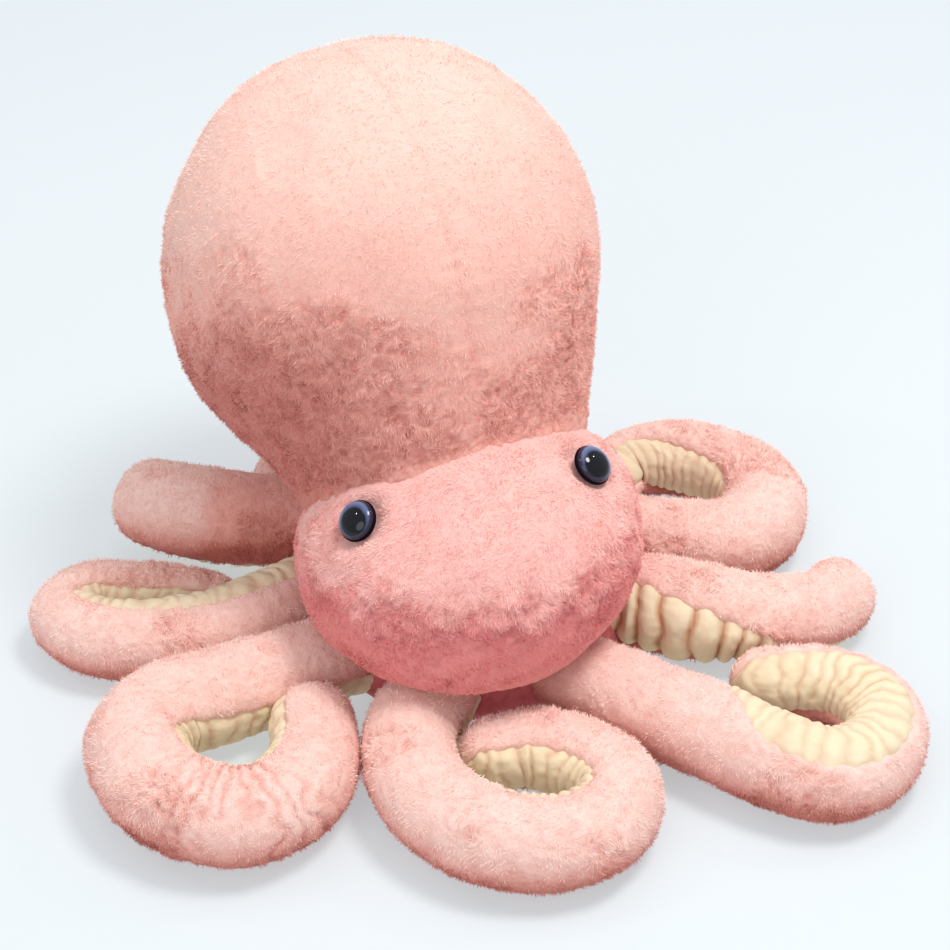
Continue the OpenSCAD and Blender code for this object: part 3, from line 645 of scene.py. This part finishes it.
def head():
    nb, na = 330, 520
    b = np.linspace(-math.pi / 2 + 0.004, math.pi / 2 - 0.004, nb)[:, None]
    a = np.linspace(0, 2 * math.pi, na, endpoint=False)[None, :]
    u = np.array([math.cos(LEAN), 0, math.sin(LEAN)])
    v = np.array([0, 1.0, 0])
    w = np.array([-math.sin(LEAN), 0, math.cos(LEAN)])
    n = (np.cos(b) * np.cos(a))[..., None] * u + (np.cos(b) * np.sin(a))[..., None] * v + (np.sin(b) + 0 * a)[..., None] * w
    X = HM + (HA * np.cos(b) * np.cos(a))[..., None] * u + (HA * np.cos(b) * np.sin(a))[..., None] * v + (HC * np.sin(b) + 0 * a)[..., None] * w
    L = head_local(X)
    front = step(-L[..., 1], -10, 40)
    lvl = X[..., 2] - 0.10 * X[..., 0] - 62.0 + 6.0 * noise(X, 34.0, 60) + 4.5 * noise(X, 11.0, 61) + 3.0 * noise(X, 5.0, 69)
    low = step(lvl, 26, 6)
    band = np.exp(-((lvl - 17) / 9.0) ** 2)
    patch = 0.12 + 0.75 * band + 0.35 * low * step(noise(X, 22.0, 62), 0.1, 0.6)
    cl = clumps(X, 63)
    disp = 1.6 * noise(X, 38.0, 64) + 0.7 * noise(X, 17.0, 65)
    # the face sits a little proud above the mouth line and draws in below it
    disp = disp + front * (1.3 * band - 1.6 * low)
    disp = disp + patch * 1.35 * cl + 0.15 * nap(X, 66)
    # soft folds low on the face
    disp = disp - 0.9 * low * np.abs(np.sin(L[..., 2] / 5.2 + 2.2 * noise(X, 26.0, 67))) ** 4 * step(noise(X, 30.0, 68), -0.1, 0.5)
    # each eye pulls the cloth in round itself
    pin = 0
    for e, tilt, az in EYES.values():
        dist = np.linalg.norm(X - e, axis=-1)
        pin = pin + np.exp(-(np.maximum(dist - 8.0, 0) / 5.0) ** 2)
        disp = disp - 1.5 * np.exp(-(np.maximum(dist - 8.0, 0) / 3.0) ** 2)
        disp = disp + 1.3 * np.exp(-((dist - 15.0) / 4.5) ** 2)
    X = X + n * (disp - 0.4)[..., None]
    # resting on the arm roots
    zf = 39.0
    X[..., 2] = np.where(X[..., 2] < zf + 5, zf + 5 - 5 * (1 - np.exp(-(zf + 5 - X[..., 2]) / 5)), X[..., 2])
    # painted shade: the lower face below the mouth line is a deeper rose, more so on the front, and a little deeper
    # along the mouth band; cav gives painted shade in the hollows between the tufts
    tone = 0.06 + 0.74 * low * (0.75 + 0.25 * front) + 0.12 * band
    cav = np.clip(cl, -1.2, 1) * patch
    nr, nc = X.shape[:2]
    verts = X.reshape(-1, 3) + SH
    quads = grid_faces(nr, nc, True)
    c = len(verts)
    verts = np.vstack([verts, verts[:nc].mean(0)[None], verts[(nr - 1) * nc:].mean(0)[None]])
    tris = np.vstack([fan(np.arange(nc), c, True), fan((nr - 1) * nc + np.arange(nc), c + 1, False)])
    ob = make_mesh("head_soft", verts, (quads, tris), {"tone": np.append(tone.ravel(), [0.8, 0.1]), "cav": np.append(cav.ravel(), [0, 0])})
    ob.data.materials.append(M_FACE)
    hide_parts("face_panel", "head_back_panel", "head_stuffing", "left_eye_washer", "right_eye_washer")
    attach(ob, "head")
    dens = (0.3 + patch) * step(X[..., 2], 40, 47)
    for e, tilt, az in EYES.values():
        dist = np.linalg.norm(X - e, axis=-1)
        dens = dens * step(dist, 8.7, 9.8) * (1 + 1.6 * np.exp(-((dist - 12.5) / 3.0) ** 2))
    dens = dens * step(np.linalg.norm((X - MC) - np.outer(((X - MC) @ MROT[:, 2]).ravel(), MROT[:, 2]).reshape(X.shape), axis=-1), 62, 66)
    fur, _, _ = hairs("head_pile", X, n, dens, 40000, 1.85, H_ROSE, 700, lambda r_, a_, b_: tone[a_, b_])
    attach(fur, "head")


head()

# ---------------------------------------------------------------- mantle
def mantle():
    # profile: round crown, then a slowly tightening neck that runs on into the head
    b = np.radians(np.linspace(89.6, -22, 230))
    t_prof = np.concatenate([MR * np.sin(b), np.linspace(MR * math.sin(math.radians(-22)), -80, 90)[1:], np.linspace(-80, -112, 40)[1:]])
    r_top = MR * np.cos(b)
    r_neck = np.interp(np.linspace(MR * math.sin(math.radians(-22)), -80, 90)[1:], [-80, MR * math.sin(math.radians(-22))], [NR, MR * math.cos(math.radians(22))])
    r_in = NR * np.sqrt(np.clip(1 - (np.linspace(0, 1, 40)[1:]) ** 2.2, 0.0004, 1))
    r_prof = np.concatenate([r_top, r_neck, r_in])
    nu, na = len(t_prof), 620
    a = np.linspace(0, 2 * math.pi, na, endpoint=False)[None, :]
    t = t_prof[:, None]
    rho = r_prof[:, None]
    loc = np.stack([rho * np.cos(a), rho * np.sin(a), t + 0 * a], -1)
    X = MC + loc @ MROT.T
    # outward direction from the profile
    dr = np.gradient(r_prof)[:, None]
    dt = np.gradient(t_prof)[:, None]
    nl = np.sqrt(dr ** 2 + dt ** 2)
    cr_, ct_ = -dt / nl, dr / nl
    nloc = np.stack([cr_ * np.cos(a), cr_ * np.sin(a), ct_ + 0 * a], -1)
    n = nloc @ MROT.T
    lower = step(t + 0 * a, 18, -58)
    leftness = step(-(X[..., 0] - MC[0]), -30, 70)
    lowpatch = step(noise(X, 40.0, 80) * 0.55 + 0.35 * noise(X, 17.0, 81) + 1.15 * lower + 1.0 * leftness * step(t + 0 * a, 80, 10) - 0.60, 0.0, 0.6)
    cl = clumps(X, 82)
    disp = 1.5 * noise(X, 60.0, 83) + 0.6 * noise(X, 26.0, 84)
    disp = disp + (0.10 + 0.9 * lowpatch) * 1.35 * cl + 0.15 * nap(X, 85)
    # a few soft dents high on the crown
    disp = disp - 0.8 * step(noise(X, 24.0, 86), 0.35, 0.8) * (1 - lower)
    # front and back seam: a shallow valley with small puckers
    dpsi = np.minimum(np.abs(np.angle(np.exp(1j * (a - SEAM)))), np.abs(np.angle(np.exp(1j * (a - SEAM - math.pi)))))
    dist = dpsi * rho
    seam = np.exp(-(dist / 1.5) ** 2)
    disp = disp - 0.55 * seam * (0.7 + 0.5 * noise(X, 16.0, 88)) - 0.45 * np.exp(-(dist / 7.0) ** 2) * (0.7 + 0.3 * np.cos(t * 0.8 + 3 * noise(X, 9.0, 87)))
    # sag: fuller low on the left, where the weight of the stuffing settles
    side = n[..., 0]
    disp = disp + 3.2 * step(-side, 0.1, 0.9) * np.exp(-((t + 34) / 26.0) ** 2)
    X = X + n * (disp - 0.3)[..., None]
    # painted shade: darker towards the bottom and most on the lower left, where the mantle turns from the light; matted
    # patches a little deeper; cav gives painted shade in the hollows between the tufts and darkens the seam line
    tone = 0.04 + 0.20 * step(t + 0 * a, 70, -20) + 0.27 * step(t + 0 * a, 5, -66) + 0.10 * lowpatch + 0.52 * leftness * step(t + 0 * a, 30, -45)
    cav = np.clip(cl, -1.2, 1) * (0.05 + 0.6 * lowpatch) - 0.12 * seam
    verts = X.reshape(-1, 3) + SH
    quads = grid_faces(nu, na, True)[:, ::-1]
    c = len(verts)
    verts = np.vstack([verts, verts[:na].mean(0)[None], verts[(nu - 1) * na:].mean(0)[None]])
    tris = np.vstack([fan(np.arange(na), c, False), fan((nu - 1) * na + np.arange(na), c + 1, True)])[:, ::1]
    ob = make_mesh("mantle_soft", verts, (quads, tris), {"tone": np.append(tone.ravel(), [0, 0.8]), "cav": np.append(cav.ravel(), [0, 0])})
    ob.data.materials.append(M_MANTLE)
    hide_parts("mantle_left_panel", "mantle_right_panel", "mantle_stuffing")
    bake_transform(ob)
    dens = (0.28 + lowpatch) * step(t + 0 * a, -84, -78)
    dens = dens * step(np.linalg.norm((X - HM) / np.array([HA, HA, HC]), axis=-1), 0.97, 1.0)
    fur, hi, hj = hairs("mantle_pile", X, n, dens, 78000, 1.9, H_PEACH, 800, lambda r_, a_, b_: tone[a_, b_])
    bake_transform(fur)


mantle()

# ---------------------------------------------------------------- eyes


def eye_material():
    """Polished dome over a printed pupil and slate iris: tone is the distance from the pupil's middle, cav from the axis."""
    m = bpy.data.materials.new("clear_dome")
    m.use_nodes = True
    nt = m.node_tree
    b = nt.nodes["Principled BSDF"]
    b.inputs["Roughness"].default_value = 0.5
    b.inputs["Specular IOR Level"].default_value = 0.0
    b.inputs["Coat Weight"].default_value = 1.0
    b.inputs["Coat Roughness"].default_value = 0.03
    b.inputs["Coat IOR"].default_value = 1.42
    at = nt.nodes.new("ShaderNodeAttribute"); at.attribute_name = "tone"
    an = nt.nodes.new("ShaderNodeAttribute"); an.attribute_name = "cav"
    ramp = nt.nodes.new("ShaderNodeValToRGB")
    ramp.color_ramp.elements[0].position = 0.66; ramp.color_ramp.elements[0].color = (0.003, 0.003, 0.006, 1)
    ramp.color_ramp.elements[1].position = 1.0; ramp.color_ramp.elements[1].color = (0.17, 0.24, 0.40, 1)
    e = ramp.color_ramp.elements.new(0.70); e.color = (0.04, 0.055, 0.13, 1)
    e = ramp.color_ramp.elements.new(0.80); e.color = (0.085, 0.12, 0.24, 1)
    nt.links.new(at.outputs["Fac"], ramp.inputs["Fac"])
    rim = nt.nodes.new("ShaderNodeMapRange")
    rim.inputs["From Min"].default_value = 0.86; rim.inputs["From Max"].default_value = 0.95
    nt.links.new(an.outputs["Fac"], rim.inputs["Value"])
    mx = nt.nodes.new("ShaderNodeMix"); mx.data_type = "RGBA"
    nt.links.new(rim.outputs["Result"], mx.inputs["Factor"])
    nt.links.new(ramp.outputs["Color"], mx.inputs[6])
    mx.inputs[7].default_value = (0.022, 0.014, 0.035, 1)
    nt.links.new(mx.outputs[2], b.inputs["Base Color"])
    return m


M_DOME = eye_material()

M_BLACK = simple("eye_black", (0.004, 0.003, 0.008, 1), 0.5, Specular_IOR_Level=0.05)
M_RIM = simple("eye_rim", (0.035, 0.018, 0.03, 1), 0.25, Coat_Weight=0.5)


def iris_material():
    m = bpy.data.materials.new("eye_iris")
    m.use_nodes = True
    nt = m.node_tree
    b = nt.nodes["Principled BSDF"]
    b.inputs["Roughness"].default_value = 0.3
    b.inputs["Metallic"].default_value = 0.15
    at = nt.nodes.new("ShaderNodeAttribute"); at.attribute_name = "tone"
    an = nt.nodes.new("ShaderNodeAttribute"); an.attribute_name = "cav"
    ramp = nt.nodes.new("ShaderNodeValToRGB")
    ramp.color_ramp.elements[0].position = 0.0; ramp.color_ramp.elements[0].color = (0.03, 0.05, 0.12, 1)
    ramp.color_ramp.elements[1].position = 1.0; ramp.color_ramp.elements[1].color = (0.05, 0.07, 0.16, 1)
    e = ramp.color_ramp.elements.new(0.35); e.color = (0.09, 0.12, 0.27, 1)
    e = ramp.color_ramp.elements.new(0.75); e.color = (0.13, 0.18, 0.36, 1)
    nt.links.new(at.outputs["Fac"], ramp.inputs["Fac"])
    mx = nt.nodes.new("ShaderNodeMix"); mx.data_type = "RGBA"; mx.blend_type = "MULTIPLY"
    mx.inputs["Factor"].default_value = 1.0
    nt.links.new(ramp.outputs["Color"], mx.inputs[6])
    r2 = nt.nodes.new("ShaderNodeValToRGB")
    r2.color_ramp.elements[0].color = (0.6, 0.6, 0.66, 1); r2.color_ramp.elements[1].color = (1.25, 1.25, 1.3, 1)
    nt.links.new(an.outputs["Fac"], r2.inputs["Fac"])
    nt.links.new(r2.outputs["Color"], mx.inputs[7])
    nt.links.new(mx.outputs[2], b.inputs["Base Color"])
    return m


M_IRIS = iris_material()


def lathe(name, prof, e, tilt, az, n=128, attr=None):
    """Turned piece on an eye's axis; prof is a list of radius, height."""
    prof = np.array(prof, float)
    a = np.linspace(0, 2 * math.pi, n, endpoint=False)
    loc = np.stack([prof[:, 0][:, None] * np.cos(a), prof[:, 0][:, None] * np.sin(a), prof[:, 1][:, None] + 0 * a], -1)
    R = rot_z(math.radians(az)) @ rot_y(math.radians(tilt))
    X = loc @ R.T + e + SH
    m = len(prof)
    verts = X.reshape(-1, 3)
    quads = grid_faces(m, n, True)
    c = len(verts)
    verts = np.vstack([verts, X[0].mean(0)[None], X[-1].mean(0)[None]])
    tris = np.vstack([fan(np.arange(n), c, False), fan((m - 1) * n + np.arange(n), c + 1, True)])
    attrs = {}
    if attr is not None:
        t, v = attr(loc)
        attrs = {"tone": np.append(t.ravel(), [0, 0]), "cav": np.append(v.ravel(), [0.5, 0.5])}
    return make_mesh(name, verts, (quads[:, ::-1], tris[:, ::-1]), attrs)


def arc(r, h0, h1, n, a0=0, a1=90):
    return [[r * math.cos(math.radians(x)), h0 + (h1 - h0) * math.sin(math.radians(x))] for x in np.linspace(a0, a1, n)]


for side, (e, tilt, az) in EYES.items():
    seed = 11 if side == "left" else 23
    # the printed pupil looks forward, a little below the eye's own axis
    off = np.array([0.95, -0.85, -1.15]) if side == "left" else np.array([-1.2, -1.15, -1.5])
    off = (off @ (rot_z(math.radians(az)) @ rot_y(math.radians(tilt))))[:2]

    def dome_attr(loc, off=off, seed=seed):
        r = np.linalg.norm(loc[..., :2], axis=-1)
        d = np.linalg.norm(loc[..., :2] - off, axis=-1)
        ang = np.arctan2(loc[..., 1] - off[1], loc[..., 0] - off[0])
        ray = noise(np.stack([np.cos(ang) * 30, np.sin(ang) * 30, d * 0.5], -1), 2.4, seed)
        return d / 8.0 + 0.012 * ray * (d > 5.0), r / 7.75
    dome = lathe(f"{side}_dome_clear", [[0.02, 2.42], [6.3, 2.42], [7.3, 2.2], [7.72, 2.25]] + arc(7.75, 2.25, 6.4, 90, 1, 89.5), e, tilt, az, 200, dome_attr)
    dome.data.materials.append(M_DOME)
    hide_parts(f"{side}_eye_dome"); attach(dome, "head")
    back = lathe(f"{side}_eye_cup", [[0.02, -11.9], [1.5, -11.9], [2.1, -11.0], [2.1, 0.2], [7.0, 0.25], [8.0, 0.6], [8.25, 1.2], [8.2, 1.8], [7.95, 2.25], [7.8, 2.3], [7.72, 2.0], [7.5, 1.3], [0.02, 1.2]], e, tilt, az)
    back.data.materials.append(M_BLACK)
    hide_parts(f"{side}_eye_back"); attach(back, "head")
    def iris_attr(loc, seed=seed):
        r = np.linalg.norm(loc[..., :2], axis=-1)
        ang = np.arctan2(loc[..., 1], loc[..., 0])
        t = np.clip((r - 3.9) / 3.4, 0, 1)
        ray = noise(np.stack([np.cos(ang) * 30, np.sin(ang) * 30, r * 0.6], -1), 2.2, seed)
        return t, 0.5 + 0.5 * ray
    iris = lathe(f"{side}_iris_ring", [[0.02, 1.55], [3.0, 1.95], [5.0, 2.02], [6.2, 2.04], [6.7, 2.0], [7.1, 1.9], [7.3, 1.7], [7.2, 1.5], [0.02, 1.4]], e, tilt, az, 240, iris_attr)
    iris.data.materials.append(M_IRIS)
    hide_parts(f"{side}_eye_iris"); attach(iris, "head")

# ---------------------------------------------------------------- floor and light
me = bpy.data.meshes.new("floor")
me.from_pydata([(-4, -3, -0.0002), (4, -3, -0.0002), (4, 6, -0.0002), (-4, 6, -0.0002)], [], [(0, 1, 2, 3)])
floor = bpy.data.objects.new("floor", me)
bpy.context.scene.collection.objects.link(floor)
mf = simple("floor", (0.36, 0.385, 0.40, 1), 0.95, Specular_IOR_Level=0.0, Emission_Color=(0.87, 0.935, 0.97, 1), Emission_Strength=0.475)
floor.data.materials.append(mf)

world = bpy.data.worlds.new("world")
bpy.context.scene.world = world
world.use_nodes = True
world.node_tree.nodes["Background"].inputs["Color"].default_value = (0.93, 0.97, 1.0, 1)
world.node_tree.nodes["Background"].inputs["Strength"].default_value = 0.62


def area(name, loc, size, power, look=(0, 0, 0.08), color=(1, 1, 1)):
    d = bpy.data.lights.new(name, "AREA")
    d.energy = power
    d.shape = "DISK"
    d.size = size
    d.color = color
    o = bpy.data.objects.new(name, d)
    o.location = loc
    o.rotation_euler = (Vector(look) - Vector(loc)).to_track_quat("-Z", "Y").to_euler()
    bpy.context.scene.collection.objects.link(o)


area("key", (0.45, -0.05, 1.4), 0.45, 11.9, color=(1, 0.985, 0.96))
area("fill", (-0.8, -1.4, 1.0), 1.2, 7.0, color=(0.97, 0.98, 1))
area("top", (0.0, 0.3, 1.9), 1.6, 5)
area("spark_left", (-1.0, 0.0, 1.2), 0.07, 1.0)
area("spark_right", (0.95, 0.52, 1.14), 0.07, 1.0)

bpy.context.scene.view_settings.view_transform = "Standard"
